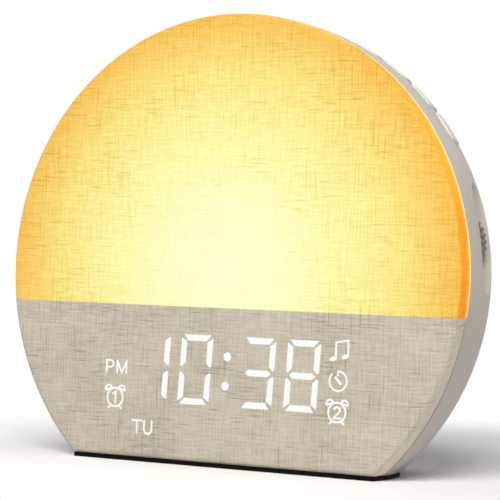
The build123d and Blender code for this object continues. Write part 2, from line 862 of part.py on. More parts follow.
with BuildPart() as display_film:
    with BuildSketch(depth_plane(film_depth)):
        with Locations((block_x, block_z)):
            RectangleRounded(block_w, block_h, 1.5)
    extrude(amount=-film_t)
keep_piece(display_film, "display_film")

with BuildPart() as display_block:
    with BuildSketch(depth_plane(block_depth)):
        with Locations((block_x, block_z)):
            RectangleRounded(block_w, block_h, 1.5)
        for points in strokes:
            Polygon(*points, align=None, mode=Mode.SUBTRACT)
        with Locations(*colon_dots):
            Circle(colon_dot_r, mode=Mode.SUBTRACT)
        with Locations((block_x, display_z - icon_window_drop)):
            with GridLocations(2 * icon_x, 0, 2, 1):
                Rectangle(icon_window_w, icon_window_h, mode=Mode.SUBTRACT)
        with Locations((week_x, week_z)):
            with GridLocations(week_pitch, 0, week_days, 1):
                Rectangle(week_window_w, week_window_h, mode=Mode.SUBTRACT)
    extrude(amount=-block_t)
keep_piece(display_block, "display_block")

with BuildPart() as segment_lenses:
    with BuildSketch(depth_plane(block_depth)):
        for points in strokes:
            Polygon(*points, align=None)
        with Locations(*colon_dots):
            Circle(colon_dot_r)
    extrude(amount=-lens_t)
keep_piece(segment_lenses, "segment_lenses")

with BuildPart() as display_board:
    with BuildSketch(depth_plane(display_board_depth)):
        with Locations((block_x, block_z)):
            RectangleRounded(display_board_w, display_board_h, 2)
        with Locations(*display_points):
            Circle(board_screw_r + screw_gap, mode=Mode.SUBTRACT)
    extrude(amount=-board_t)
keep_piece(display_board, "display_board")

stroke_middles = [
    (sum(x for x, _ in points) / len(points), sum(z for _, z in points) / len(points))
    for points in strokes
]
icon_leds = [
    (block_x + side * icon_x, display_z - icon_window_drop + z)
    for side in (-1, 1)
    for z in (-icon_window_h / 3, 0, icon_window_h / 3)
]
week_leds = [
    (week_x + (day - (week_days - 1) / 2) * week_pitch, week_z) for day in range(week_days)
]
with BuildPart() as display_leds:
    with BuildSketch(depth_plane(display_board_depth - display_led_t)):
        with Locations(*stroke_middles, *colon_dots, *icon_leds, *week_leds):
            Rectangle(display_led_size, display_led_size)
    extrude(amount=-display_led_t)
keep_piece(display_leds, "display_leds")

with BuildPart() as display_screws:
    with Locations(
        *[depth_plane(display_board_depth) * Location((x, z, 0)) for x, z in display_points]
    ):
        add(board_screw)
keep_piece(display_screws, "display_screws")

# ---------------------------------------------------------------- speaker
flange_rear = wall_depth - gasket_t
flange_front = flange_rear - speaker_flange_t
basket_back = flange_front - basket_depth
magnet_front = basket_back - magnet_t
yoke_front = magnet_front - yoke_t
coil_r = pole_r + coil_gap
speaker_plane = Plane.XY.offset(axis_z)

with BuildPart() as speaker_gasket:
    with BuildSketch(depth_plane(flange_rear)):
        with Locations((0, axis_z)):
            Circle(basket_r + gasket_w)
            Circle(basket_r, mode=Mode.SUBTRACT)
    extrude(amount=-gasket_t)
keep_piece(speaker_gasket, "speaker_gasket")

with BuildPart() as speaker_frame:
    # conical basket
    with BuildSketch(speaker_plane):
        with BuildLine():
            Polyline(
                (magnet_bore_r, front_y + basket_back),
                (basket_back_r, front_y + basket_back),
                (basket_r + basket_t, front_y + flange_front),
                (basket_r, front_y + flange_front),
                (basket_back_r - basket_t, front_y + basket_back + basket_t),
                (magnet_bore_r, front_y + basket_back + basket_t),
                close=True,
            )
        make_face()
    revolve(axis=disc_axis)
    for window in range(basket_windows):
        window_angle = window * 360 / basket_windows
        with BuildSketch(radial_plane(window_angle, 0, (basket_back + flange_front) / 2)):
            Rectangle(basket_window_w, basket_depth - 3 * basket_t)
        extrude(amount=basket_r + basket_t, mode=Mode.SUBTRACT)
    # square flange
    with BuildSketch(depth_plane(flange_front)):
        with Locations((0, axis_z)):
            RectangleRounded(speaker_size, speaker_size, speaker_corner_r)
            Circle(basket_r, mode=Mode.SUBTRACT)
        with Locations(*speaker_points):
            Circle(board_screw_r + screw_gap, mode=Mode.SUBTRACT)
    extrude(amount=-speaker_flange_t)
keep_piece(speaker_frame, "speaker_frame")

with BuildPart() as speaker_magnet:
    with BuildSketch(depth_plane(magnet_front)):
        with Locations((0, axis_z)):
            Circle(magnet_r)
            Circle(magnet_bore_r, mode=Mode.SUBTRACT)
    extrude(amount=-magnet_t)
keep_piece(speaker_magnet, "speaker_magnet")

with BuildPart() as speaker_yoke:
    with BuildSketch(depth_plane(yoke_front)):
        with Locations((0, axis_z)):
            Circle(yoke_r)
    extrude(amount=-yoke_t)
    with BuildSketch(depth_plane(magnet_front)):
        with Locations((0, axis_z)):
            Circle(pole_r)
    extrude(amount=-(magnet_t + basket_t))
keep_piece(speaker_yoke, "speaker_yoke")

cone_rear = flange_rear - surround_w / 2
cone_large_r = basket_r - surround_w
cone_front = cone_rear - cone_drop
with BuildPart() as speaker_cone:
    # cone, dust cap and voice coil former, turned about the speaker's axis
    with BuildSketch(speaker_plane):
        with BuildLine():
            rim = Polyline(
                (0, front_y + cone_front + dust_cap_rise),
                (0, front_y + cone_front + dust_cap_rise - cone_t),
            )
            under = ThreePointArc(
                rim @ 1,
                cap_point(coil_r, dust_cap_rise - cone_t, front_y + cone_front),
                (coil_r, front_y + cone_front),
            )
            skirt = Polyline(
                under @ 1,
                (coil_r, front_y + basket_back - 2),
                (coil_r + coil_t, front_y + basket_back - 2),
                (coil_r + coil_t, front_y + cone_front - cone_t),
                (cone_large_r, front_y + cone_rear - cone_t),
                (cone_large_r, front_y + cone_rear),
                (coil_r + coil_t, front_y + cone_front + cone_t),
            )
            ThreePointArc(
                skirt @ 1,
                cap_point(coil_r + coil_t, dust_cap_rise - cone_t, front_y + cone_front + cone_t),
                rim @ 0,
            )
        make_face()
    revolve(axis=disc_axis)
keep_piece(speaker_cone, "speaker_cone")

with BuildPart() as speaker_surround:
    # half-roll between the cone and the frame
    roll_middle = (cone_large_r + basket_r) / 2
    with BuildSketch(speaker_plane):
        with BuildLine():
            inner = ThreePointArc(
                (cone_large_r, front_y + cone_rear),
                (roll_middle, front_y + cone_rear + surround_w / 2 - cone_t),
                (basket_r, front_y + cone_rear),
            )
            drop = Line(inner @ 1, (basket_r, front_y + cone_rear + cone_t))
            outer = ThreePointArc(
                drop @ 1,
                (roll_middle, front_y + cone_rear + surround_w / 2),
                (cone_large_r, front_y + cone_rear + cone_t),
            )
            Line(outer @ 1, inner @ 0)
        make_face()
    revolve(axis=disc_axis)
keep_piece(speaker_surround, "speaker_surround")

with BuildPart() as speaker_screws:
    with Locations(*[depth_plane(flange_front) * Location((x, z, 0)) for x, z in speaker_points]):
        add(board_screw)
keep_piece(speaker_screws, "speaker_screws")

# ---------------------------------------------------------------- main board
with BuildPart() as main_board:
    with BuildSketch(depth_plane(main_board_depth)):
        with Locations((0, main_board_z)):
            RectangleRounded(main_board_w, main_board_h, 2)
        with Locations(*main_points):
            Circle(board_screw_r + screw_gap, mode=Mode.SUBTRACT)
    extrude(amount=-board_t)
keep_piece(main_board, "main_board")

with BuildPart() as main_board_screws:
    with Locations(*[rear_plane(x, main_board_rear, z) for x, z in main_points]):
        add(board_screw)
keep_piece(main_board_screws, "main_board_screws")

with BuildPart() as main_chips:
    with BuildSketch(depth_plane(main_board_rear)):
        with Locations((-chip_x, main_board_z)):
            Rectangle(chip_w, chip_w)
        with Locations((chip_x, main_board_z + part_rise)):
            Rectangle(chip_w / 2, chip_w / 2)
    extrude(amount=-chip_t)
keep_piece(main_chips, "main_chips")

with BuildPart() as capacitors:
    with BuildSketch(depth_plane(main_board_rear)):
        with Locations((capacitor_x, main_board_z)):
            with GridLocations(0, 2 * part_rise, 1, 2):
                Circle(capacitor_r)
    extrude(amount=-capacitor_h)
keep_piece(capacitors, "capacitors")

with BuildPart() as dc_jack:
    with BuildSketch(depth_plane(main_board_rear)):
        with Locations((jack_x, jack_z)):
            Rectangle(jack_w, jack_h)
    extrude(amount=main_board_rear - jack_mouth)
    with BuildSketch(depth_plane(jack_mouth)):
        with Locations((jack_x, jack_z)):
            Circle(jack_bore_r)
    extrude(amount=jack_bore_depth, mode=Mode.SUBTRACT)
    with BuildSketch(depth_plane(jack_mouth - jack_pin_set)):
        with Locations((jack_x, jack_z)):
            Circle(jack_pin_r)
    extrude(amount=jack_bore_depth - jack_pin_set)
keep_piece(dc_jack, "dc_jack")

# ---------------------------------------------------------------- keys and snooze bar
key_places = [((len(key_names) - 1) / 2 - i) * key_pitch for i in range(len(key_names))]
for name, place in zip(key_names, key_places):
    with BuildPart() as key:
        add(key_form(key_plane, place, key_l, key_w, key_corner_r))
    keep_piece(key, name)
    with BuildPart() as stem:
        add(switch_stem(key_board_plane, place))
    keep_piece(stem, name.replace("button", "switch_stem"))

with BuildPart() as snooze_bar:
    add(key_form(snooze_plane, 0, snooze_l, snooze_w, snooze_corner_r))
keep_piece(snooze_bar, "snooze_bar")
with BuildPart() as snooze_switch_stem:
    add(switch_stem(snooze_board_plane, 0))
keep_piece(snooze_switch_stem, "snooze_switch_stem")

key_screw_seats = [
    (plane, x)
    for plane, half in (
        (radial_plane(key_angle, key_board_r - board_t, key_depth), key_post_x),
        (radial_plane(90, key_board_r - board_t, key_depth), snooze_post_x),
    )
    for x in (-half, half)
]
with BuildPart() as key_board:
    add(key_board_form(key_board_plane, key_board_l, key_post_x))
keep_piece(key_board, "key_board")
with BuildPart() as key_switches:
    add(switch_body(key_board_plane, [(place, 0) for place in key_places]))
keep_piece(key_switches, "key_switches")
with BuildPart() as snooze_board:
    add(key_board_form(snooze_board_plane, snooze_board_l, snooze_post_x))
keep_piece(snooze_board, "snooze_board")
with BuildPart() as snooze_switch:
    add(switch_body(snooze_board_plane, [(0, 0)]))
keep_piece(snooze_switch, "snooze_switch")
with BuildPart() as key_board_screws:
    with Locations(
        *[
            plane * Location((x, -key_post_back, 0)) * Location((0, 0, 0), (180, 0, 0))
            for plane, x in key_screw_seats
        ]
    ):
        add(board_screw)
keep_piece(key_board_screws, "key_board_screws")

# ---------------------------------------------------------------- thumbwheel
wheel_plane = depth_plane(wheel_depth - wheel_t / 2)
with BuildPart() as brightness_wheel:
    with BuildSketch(wheel_plane):
        with Locations((wheel_x, wheel_z)):
            Circle(wheel_r)
            with PolarLocations(wheel_r, flute_count):
                Circle(flute_r, mode=Mode.SUBTRACT)
    extrude(amount=-wheel_t)
    with BuildSketch(depth_plane(wheel_depth + wheel_t / 2)):
        with Locations((wheel_x, wheel_z)):
            Circle(hub_r)
    extrude(amount=-hub_length)
    with BuildSketch(depth_plane(wheel_depth - wheel_t / 2 + wheel_wall)):
        with Locations((wheel_x, wheel_z)):
            Circle(wheel_shaft_r + shaft_gap)
    extrude(amount=-(wheel_t + hub_length), mode=Mode.SUBTRACT)
keep_piece(brightness_wheel, "brightness_wheel")

with BuildPart() as wheel_shaft:
    with BuildSketch(depth_plane(wheel_depth - wheel_t / 2 + wheel_wall + shaft_gap)):
        with Locations((wheel_x, wheel_z)):
            Circle(wheel_shaft_r)
    extrude(
        amount=wheel_depth - wheel_t / 2 + wheel_wall + 2 * shaft_gap + pot_floor_t - pot_depth - pot_t
    )
keep_piece(wheel_shaft, "wheel_shaft")

with BuildPart() as wheel_potentiometer:
    with BuildSketch(depth_plane(pot_depth)):
        with Locations((wheel_x, wheel_z)):
            Circle(pot_r)
    extrude(amount=-pot_t)
    with BuildSketch(depth_plane(pot_depth)):
        with Locations((wheel_x, wheel_z)):
            Circle(wheel_shaft_r + shaft_gap)
    extrude(amount=-(pot_t - pot_floor_t), mode=Mode.SUBTRACT)
keep_piece(wheel_potentiometer, "wheel_potentiometer")

with BuildPart() as wheel_board:
    with BuildSketch(depth_plane(wheel_board_depth)):
        with Locations(Location((*rim_point(wheel_angle, wheel_board_r), 0), (0, 0, wheel_angle))):
            RectangleRounded(wheel_board_w, wheel_board_l, 1)
        with Locations(*wheel_post_points):
            Circle(board_screw_r + screw_gap, mode=Mode.SUBTRACT)
    extrude(amount=-board_t)
keep_piece(wheel_board, "wheel_board")

with BuildPart() as wheel_board_screws:
    with Locations(
        *[depth_plane(wheel_board_depth) * Location((x, z, 0)) for x, z in wheel_post_points]
    ):
        add(board_screw)
keep_piece(wheel_board_screws, "wheel_board_screws")

# ---------------------------------------------------------------- back-up cell
with BuildPart() as battery_door:
    with BuildSketch(Plane.XY.offset(foot_z)):
        with Locations((bay_x, bay_y)):
            Circle(door_r)
    extrude(amount=door_top - foot_z)
    with BuildSketch(Plane.XY.offset(lug_z)):
        with Locations((bay_x, bay_y)):
            with PolarLocations(0, door_lugs):
                Rectangle(door_r + door_lug_reach, door_lug_w, align=(Align.MIN, Align.CENTER))
            Circle(door_r + door_lug_reach, mode=Mode.INTERSECT)
    extrude(amount=door_lug_t)
    with BuildSketch(Plane.XY.offset(foot_z)):
        with Locations((bay_x, bay_y)):
            SlotOverall(coin_slot_l, coin_slot_w)
    extrude(amount=coin_slot_depth, mode=Mode.SUBTRACT)
keep_piece(battery_door, "battery_door")

with BuildPart() as coin_cell:
    with BuildSketch(Plane.XY.offset(cell_z)):
        with Locations((bay_x, bay_y)):
            Circle(cell_r)
    extrude(amount=cell_t)
    chamfer(coin_cell.edges().filter_by(GeomType.CIRCLE), 0.3)
keep_piece(coin_cell, "coin_cell")

with BuildPart() as cell_holder:
    with BuildSketch(Plane.XY.offset(cell_z)):
        with Locations((bay_x, bay_y)):
            Circle(cell_r + screw_gap + holder_wall)
            Circle(cell_r + screw_gap, mode=Mode.SUBTRACT)
    extrude(amount=bay_ceiling - cell_z)
keep_piece(cell_holder, "cell_holder")

with BuildPart() as cell_contact:
    # bowed leaf spring between the bay's ceiling and the cell
    with BuildSketch(Plane.XZ.offset(-bay_y)):
        with BuildLine():
            under = ThreePointArc(
                (bay_x - contact_l / 2, bay_ceiling - contact_t),
                (bay_x, contact_z),
                (bay_x + contact_l / 2, bay_ceiling - contact_t),
            )
            right = Line(under @ 1, (bay_x + contact_l / 2, bay_ceiling))
            over = ThreePointArc(
                right @ 1,
                (bay_x, contact_z + contact_t),
                (bay_x - contact_l / 2, bay_ceiling),
            )
            Line(over @ 1, under @ 0)
        make_face()
    extrude(amount=contact_w / 2, both=True)
keep_piece(cell_contact, "cell_contact")
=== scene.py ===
"""Looks of a sunrise alarm clock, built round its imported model.

Metres, +Z up, the cloth face looks along -Y. The upper part of the face glows, the lit digits and
signs of the clock show through the lower part, and the rear is a moulded housing with keys and a
thumbwheel on its right shoulder.
"""

import json
from math import atan2, cos, hypot, pi, radians, sin, sqrt, tan

import bmesh
import bpy
from mathutils import Matrix, Vector


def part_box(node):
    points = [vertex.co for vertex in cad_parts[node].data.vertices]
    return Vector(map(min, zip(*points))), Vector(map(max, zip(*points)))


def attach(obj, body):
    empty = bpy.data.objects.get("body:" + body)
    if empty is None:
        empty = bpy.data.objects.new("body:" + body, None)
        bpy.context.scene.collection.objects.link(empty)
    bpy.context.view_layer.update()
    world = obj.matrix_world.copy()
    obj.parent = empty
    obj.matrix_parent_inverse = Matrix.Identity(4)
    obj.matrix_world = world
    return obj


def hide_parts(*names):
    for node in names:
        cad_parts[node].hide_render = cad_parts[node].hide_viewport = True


MM = 0.001

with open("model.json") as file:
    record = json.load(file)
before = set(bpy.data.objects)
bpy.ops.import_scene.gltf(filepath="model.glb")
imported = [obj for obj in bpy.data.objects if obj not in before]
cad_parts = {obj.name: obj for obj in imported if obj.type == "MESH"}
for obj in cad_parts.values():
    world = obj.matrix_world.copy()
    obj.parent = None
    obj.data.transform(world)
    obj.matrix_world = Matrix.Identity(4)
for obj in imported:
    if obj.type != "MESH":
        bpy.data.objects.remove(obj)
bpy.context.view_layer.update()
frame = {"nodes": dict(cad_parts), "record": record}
nodes = frame["nodes"]
BODY = "clock_body"

# ---------------------------------------------------------------- sizes
# the cloth, read from the frame where it can be
cloth_low, cloth_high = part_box("front_fabric")
FRONT_Y = cloth_low.y
FACE_R = (cloth_high.x - cloth_low.x) / 2
DISC_Z = cloth_high.z - FACE_R  # middle of the round face
FOOT_Z = cloth_low.z
CLOTH_WRAP = cloth_high.y - cloth_low.y
CLOTH_T = 0.8 * MM
EDGE_R = 1.7 * MM  # round between the face and its side
CORNER_R = 3.8 * MM  # round of the two foot corners
RIM_DEPTH = 8.0 * MM  # from the face to the rim of the housing
DIVIDER_Z = FOOT_Z + 53.9 * MM  # where the lamp ends and the display begins

# digits, as on their light guides
DIGIT_Z = FOOT_Z + 32.1 * MM
COLON_X = 2.4 * MM
DIGIT_W = 12.8 * MM
DIGIT_H = 24.4 * MM
DIGIT_PITCH = 17.4 * MM
COLON_SPACE = 7.8 * MM
DIGIT_SLANT = radians(3.0)
STROKE_W = 2.2 * MM
STROKE_END = 0.9 * MM
STROKE_MITRE = 1.7 * MM
STROKE_TIP = 0.2 * MM  # how far strokes that meet in a point keep apart
DOT_R = 1.5 * MM
DOT_SPREAD = 10.2 * MM
MARK_T = 0.05 * MM  # how far the lit marks stand proud of the cloth

# signs: line width, and where each one stands, in millimetres across and up
SIGN_LINE = 0.66 * MM
PM_PLACE = (-47.3, 30.9)
DAY_PLACE = (-35.7, 10.1)
NOTE_PLACE = (45.15, 40.1)
DIAL_PLACE = (46.3, 32.65)
ALARM_PLACES = {"1": (-43.3, 22.2), "2": (46.25, 22.1)}

# camera
CAMERA_TURN = radians(30.48)
CAMERA_RISE = radians(-0.76)
CAMERA_ROLL = radians(2.09)
CAMERA_DISTANCE = 770.69 * MM
CAMERA_TARGET = Vector((10.19 * MM, FRONT_Y, 75.8 * MM))
CAMERA_LENS = 161.33

# studio: lamps as (name, place, power in watts), all of one size and aimed at one point
FLOOR_HALF = 6.0
FLOOR_SEEN = 1.0  # how light the floor looks
FLOOR_BOUNCE = 0.85  # how much light it gives back
FLOOR_MIDDLE = (0.04, 0.09, 0)  # the floor fades to white round this point
FLOOR_FADE = (0.11, 0.27)
WALL_LIGHT = 0.02
CEILING_LIGHT = 0.03
LAMP_SIZE = 0.9
LAMP_AIM = Vector((0, 0, 0.08))
LAMPS = (
    ("front_softbox", (0.42, -1.25, 1.15), 29.2),
    ("top_softbox", (0.68, 0.25, 1.62), 3.2),
    ("right_softbox", (1.36, 0.55, 0.93), 3.2),
    ("left_softbox", (-1.54, 0.56, 0.52), 6.0),
)


# ---------------------------------------------------------------- helpers
NOISE_SPAN = (0.3, 0.7)  # nearly all of a noise lies between these levels


def colour(code):
    """Linear colour from an sRGB hex value."""
    parts = [int(code[i : i + 2], 16) / 255 for i in (1, 3, 5)]
    linear = [p / 12.92 if p <= 0.04045 else ((p + 0.055) / 1.055) ** 2.4 for p in parts]
    return (*linear, 1.0)


def grey(level):
    """Neutral colour of a level."""
    return (level, level, level, 1.0)


def feed(tree, node, inputs):
    """Sets a node's inputs, each to a value or to the socket that feeds it."""
    for key, value in inputs.items():
        if isinstance(value, bpy.types.NodeSocket):
            tree.links.new(value, node.inputs[key])
        else:
            node.inputs[key].default_value = value


def add_node(tree, kind, inputs=None, **settings):
    """Adds a node with its settings and inputs."""
    made = tree.nodes.new(kind)
    for name, value in settings.items():
        setattr(made, name, value)
    feed(tree, made, inputs or {})
    return made


def new_material(name):
    """Empty node material with its shader and output."""
    made = bpy.data.materials.new(name)
    made.use_nodes = True
    tree = made.node_tree
    tree.nodes.clear()
    shader = add_node(tree, "ShaderNodeBsdfPrincipled")
    add_node(tree, "ShaderNodeOutputMaterial", {"Surface": shader.outputs[0]})
    return made, tree, shader


def math(tree, operation, a, b=0.0, c=0.0, clamp=False):
    """Output of a math node."""
    made = add_node(
        tree, "ShaderNodeMath", {0: a, 1: b, 2: c}, operation=operation, use_clamp=clamp
    )
    return made.outputs[0]


def step(tree, value, low, high, to_low=0.0, to_high=1.0):
    """Smooth step of a value from one level to another."""
    made = add_node(
        tree,
        "ShaderNodeMapRange",
        {0: value, 1: low, 2: high, 3: to_low, 4: to_high},
        interpolation_type="SMOOTHSTEP",
    )
    return made.outputs[0]


def mix(tree, factor, a, b, blend_type="MIX"):
    """Output of a colour mix."""
    made = add_node(
        tree, "ShaderNodeMix", {0: factor, 6: a, 7: b}, data_type="RGBA", blend_type=blend_type
    )
    return made.outputs[2]


def multiply(tree, a, b):
    """Product of two colours."""
    return mix(tree, 1.0, a, b, "MULTIPLY")


def ramp(tree, value, stops):
    """Colour ramp from (place, hex colour) pairs."""
    made = add_node(tree, "ShaderNodeValToRGB", {0: value})
    elements = made.color_ramp.elements
    while len(elements) > 1:
        elements.remove(elements[-1])
    for i, (place, code) in enumerate(stops):
        element = elements[0] if i == 0 else elements.new(place)
        element.position = place
        element.color = colour(code)
    return made.outputs[0]


def noise(tree, place, scale, detail):
    """Noise node over a place: its level first, then its colour."""
    made = add_node(tree, "ShaderNodeTexNoise", {"Vector": place, "Scale": scale, "Detail": detail})
    return made.outputs


def object_place(tree):
    """Place on the object, in the part's own frame."""
    return add_node(tree, "ShaderNodeTexCoord").outputs["Object"]


def split(tree, place):
    """Parts x, y and z of a place."""
    return add_node(tree, "ShaderNodeSeparateXYZ", {0: place}).outputs


def mesh_object(name, bm):
    """Object from a bmesh, its place in its mesh."""
    mesh = bpy.data.meshes.new(name)
    bm.to_mesh(mesh)
    bm.free()
    made = bpy.data.objects.new(name, mesh)
    bpy.context.scene.collection.objects.link(made)
    return made


def smooth(obj, angle):
    """Smooth shading, with edges above the angle kept sharp."""
    mesh = obj.data
    mesh.polygons.foreach_set("use_smooth", [True] * len(mesh.polygons))
    mesh.set_sharp_from_angle(angle=radians(angle))


def dress(obj, made):
    """Puts one material on an object."""
    obj.data.materials.clear()
    obj.data.materials.append(made)


def apply_modifiers(obj):
    """Replaces an object's mesh by the one its modifiers make."""
    graph = bpy.context.evaluated_depsgraph_get()
    mesh = bpy.data.meshes.new_from_object(obj.evaluated_get(graph))
    obj.modifiers.clear()
    obj.data = mesh


# ---------------------------------------------------------------- cloth material
YARN_PITCH = 1.35 * MM
YARN_WANDER = 0.4 * MM
CLOUD_SCALE = 45.0  # per metre: slow changes over the cloth, about 22 mm across
# gaps beside yarns: their noise, the levels where they open and are darkest, how they crowd
GAP_LENGTH = 13.0 * MM
GAP_WIDTH = 0.46 * MM
GAP_FROM, GAP_FULL = 0.75, 0.93
GAP_CROWDING = 0.3
GAP_DEPTH = 0.75
# yarns' own thickness, and the regular grid that they make
SLUB_LENGTH = 8.0 * MM
SLUB_WIDTH = 0.65 * MM
SLUB_DEPTH = 0.85
SLUB_SEED = 9.1
GRID_DEPTH = 0.09
ROW_STRETCH, ROW_SEED = 0.7, 2.3
COLUMN_STRETCH, COLUMN_SEED = 1.2, 17.9
LINE_MIDDLE = 0.25  # share of the darker colour in cloth without lines
RELIEF_DEPTH = 0.1 * MM
GAP_RELIEF = 4.0  # depth of a gap against the height of a yarn

CLOTH_LIGHT, CLOTH_DARK = "#D5CABB", "#A89E8E"
DYE_RANGE = (0.935, 0.895)
SIDE_FROM, SIDE_FULL = 0.4 * MM, 1.6 * MM  # behind the face, where the edge turns to the side
# painted light: how much paler the side of the unlit cloth is made
SIDE_PAINTED_LIGHT = 0.43

# the lit face by distance from its middle, and its side by height above the divider
GLOW_REACH = 95 * MM
GLOW_DRIFT = 2 * MM
FACE_GLOW = (
    (0.0, "#FDFFD2"),
    (0.25, "#FFFEC5"),
    (0.46, "#FDFAAA"),
    (0.72, "#FBE786"),
    (0.94, "#F9C357"),
)
SIDE_GLOW = (
    (0.0, "#FB9F1E"),
    (0.3, "#FFA925"),
    (0.5, "#FFBF37"),
    (0.88, "#ECC05A"),
    (1.0, "#F9E3A8"),
)
SIDE_GAIN = (1.09, 1.07, 1.0, 1.0)
HEM_FROM, HEM_FULL = 5.0 * MM, 7.0 * MM
HEM_SHARE = 0.55
HEM_GLOW = "#F8DA78"
BETWEEN_LINES = (1.07, 1.10, 1.20, 1.0)
ON_LINES = (0.82, 0.73, 0.46, 1.0)
LINE_STRENGTH = (0.1, 0.85, 0.15, 1.0)  # weak in the middle of the glow, full near its rim
DIVIDER_BLUR = 0.12 * MM
GLOW_REFLECTED = 0.3
GLOW_EMITTED = 0.665


def yarns(tree, across, along, cloud, stretch, seed):
    """One set of yarns: gaps beside them, their thickness, and their round profile.

    The cloud is a pair of slow noises: the first bends the yarns and the second crowds the gaps.
    """
    bent = math(tree, "MULTIPLY_ADD", cloud[0], YARN_WANDER, across)

    def streaks(length, width, offset):
        """Noise drawn out along the yarns."""
        place = {
            0: math(tree, "DIVIDE", along, length * stretch),
            1: math(tree, "DIVIDE", bent, width),
            2: seed + offset,
        }
        place = add_node(tree, "ShaderNodeCombineXYZ", place).outputs[0]
        inputs = {"Vector": place, "Scale": 1.0, "Detail": 1.0, "Roughness": 0.55}
        return add_node(tree, "ShaderNodeTexNoise", inputs).outputs[0]

    level = math(tree, "MULTIPLY_ADD", cloud[1], GAP_CROWDING, streaks(GAP_LENGTH, GAP_WIDTH, 0.0))
    gap = step(tree, level, GAP_FROM, GAP_FULL)
    slub = streaks(SLUB_LENGTH, SLUB_WIDTH, SLUB_SEED)
    wave = math(tree, "SINE", math(tree, "MULTIPLY", bent, 2 * pi / YARN_PITCH))
    return gap, slub, wave


def linen_cloth():
    """Linen-look polyester, plain woven from uneven yarn and stretched over the lamp.

    It gives a matt greige face crossed by fine darker lines both ways, where yarns lie apart. Over
    the lamp it glows from pale yellow in the middle, where the lines drown in the light, to amber
    at the rim, and its side is a deeper orange.
    """
    made, tree, shader = new_material("linen_look_woven_polyester")
    pattern = add_node(tree, "ShaderNodeUVMap", uv_map="cut").outputs[0]
    flat_x, flat_z = split(tree, pattern)[:2]
    x, y, z = split(tree, object_place(tree))
    cloud = noise(tree, pattern, CLOUD_SCALE, 1.0)[1]
    cloud = add_node(tree, "ShaderNodeSeparateColor", {0: cloud}).outputs

    # rows and columns of yarn, and the lines that they draw
    row_gap, row_slub, row_wave = yarns(
        tree, flat_z, flat_x, (cloud[0], cloud[2]), ROW_STRETCH, ROW_SEED
    )
    column_gap, column_slub, column_wave = yarns(
        tree, flat_x, flat_z, (cloud[1], cloud[2]), COLUMN_STRETCH, COLUMN_SEED
    )
    slub = math(tree, "SUBTRACT", math(tree, "ADD", row_slub, column_slub), 1.0)
    gap = math(tree, "MULTIPLY", math(tree, "MAXIMUM", row_gap, column_gap), GAP_DEPTH)
    line = math(tree, "MULTIPLY_ADD", slub, SLUB_DEPTH, gap)
    grid = math(tree, "MULTIPLY", math(tree, "ADD", row_wave, column_wave), cloud[1])
    line = math(tree, "MULTIPLY_ADD", grid, GRID_DEPTH, line)

    # unlit cloth, with painted light that makes its whole side paler
    on_side = step(tree, y, FRONT_Y + SIDE_FROM, FRONT_Y + SIDE_FULL)
    dye_and_side_light = step(tree, cloud[2], *NOISE_SPAN, *DYE_RANGE)
    dye_and_side_light = math(tree, "MULTIPLY", dye_and_side_light, math(tree, "MULTIPLY_ADD", on_side, SIDE_PAINTED_LIGHT, 1.0))
    plain_line = math(tree, "ADD", line, LINE_MIDDLE, clamp=True)
    plain = mix(tree, plain_line, colour(CLOTH_LIGHT), colour(CLOTH_DARK))
    plain = multiply(tree, plain, dye_and_side_light)

    # lit cloth: colour by the distance from the disc's axis, or by the height on the side
    up = math(tree, "SUBTRACT", z, DISC_Z)
    out = math(tree, "MULTIPLY_ADD", x, x, math(tree, "MULTIPLY", up, up))
    out = math(tree, "SUBTRACT", math(tree, "SQRT", out), GLOW_DRIFT)
    spread = math(tree, "MULTIPLY_ADD", cloud[0], 2 * GLOW_DRIFT, out)
    spread = math(tree, "DIVIDE", spread, GLOW_REACH)
    height = math(tree, "SUBTRACT", z, DIVIDER_Z)
    height = math(tree, "DIVIDE", height, DISC_Z + FACE_R - DIVIDER_Z)
    side_glow = multiply(tree, ramp(tree, height, SIDE_GLOW), SIDE_GAIN)
    glow = mix(tree, on_side, ramp(tree, spread, FACE_GLOW), side_glow)
    near_hem = step(tree, y, FRONT_Y + HEM_FROM, FRONT_Y + HEM_FULL, 0.0, HEM_SHARE)
    glow = mix(tree, near_hem, glow, colour(HEM_GLOW))
    strength = step(tree, spread, *LINE_STRENGTH)
    lit_line = math(tree, "MULTIPLY_ADD", line, strength, LINE_MIDDLE, clamp=True)
    glow = multiply(tree, glow, mix(tree, lit_line, BETWEEN_LINES, ON_LINES))

    lit = step(tree, z, DIVIDER_Z - DIVIDER_BLUR, DIVIDER_Z + DIVIDER_BLUR)
    reflected = multiply(tree, glow, grey(GLOW_REFLECTED))
    emitted = multiply(tree, glow, grey(GLOW_EMITTED))
    weave = math(tree, "MULTIPLY", row_wave, column_wave)  # over one, under one
    relief = math(tree, "SUBTRACT", weave, math(tree, "MULTIPLY", gap, GAP_RELIEF))
    bump = add_node(
        tree, "ShaderNodeBump", {"Strength": 0.3, "Distance": RELIEF_DEPTH, "Height": relief}
    )
    feed(tree, shader, {
        "Base Color": mix(tree, lit, plain, reflected),
        "Emission Color": mix(tree, lit, grey(0.0), emitted),
        "Emission Strength": 1.0,
        "Normal": bump.outputs[0],
        "Roughness": 0.95,
        "Sheen Weight": 0.04,
        "Specular IOR Level": 0.1,
    })
    return made


# ---------------------------------------------------------------- other materials
# noises, per metre: a solid's colour drifts over about 26 mm, the shell's gloss over about 3 mm and
# the lit marks' white over about 1 mm; metal's brushing is 0.4 mm, coarser than real brushing is
PATCH_SCALE = 38.0
SHELL_SCALE = 300.0
MARK_SCALE = 900.0
BRUSHING_SCALE = 2500.0
GRAIN_DEPTH = 0.05 * MM
LEAK_WIDTH = 0.35 * MM
LEAK_COLOUR = "#BC9A20"


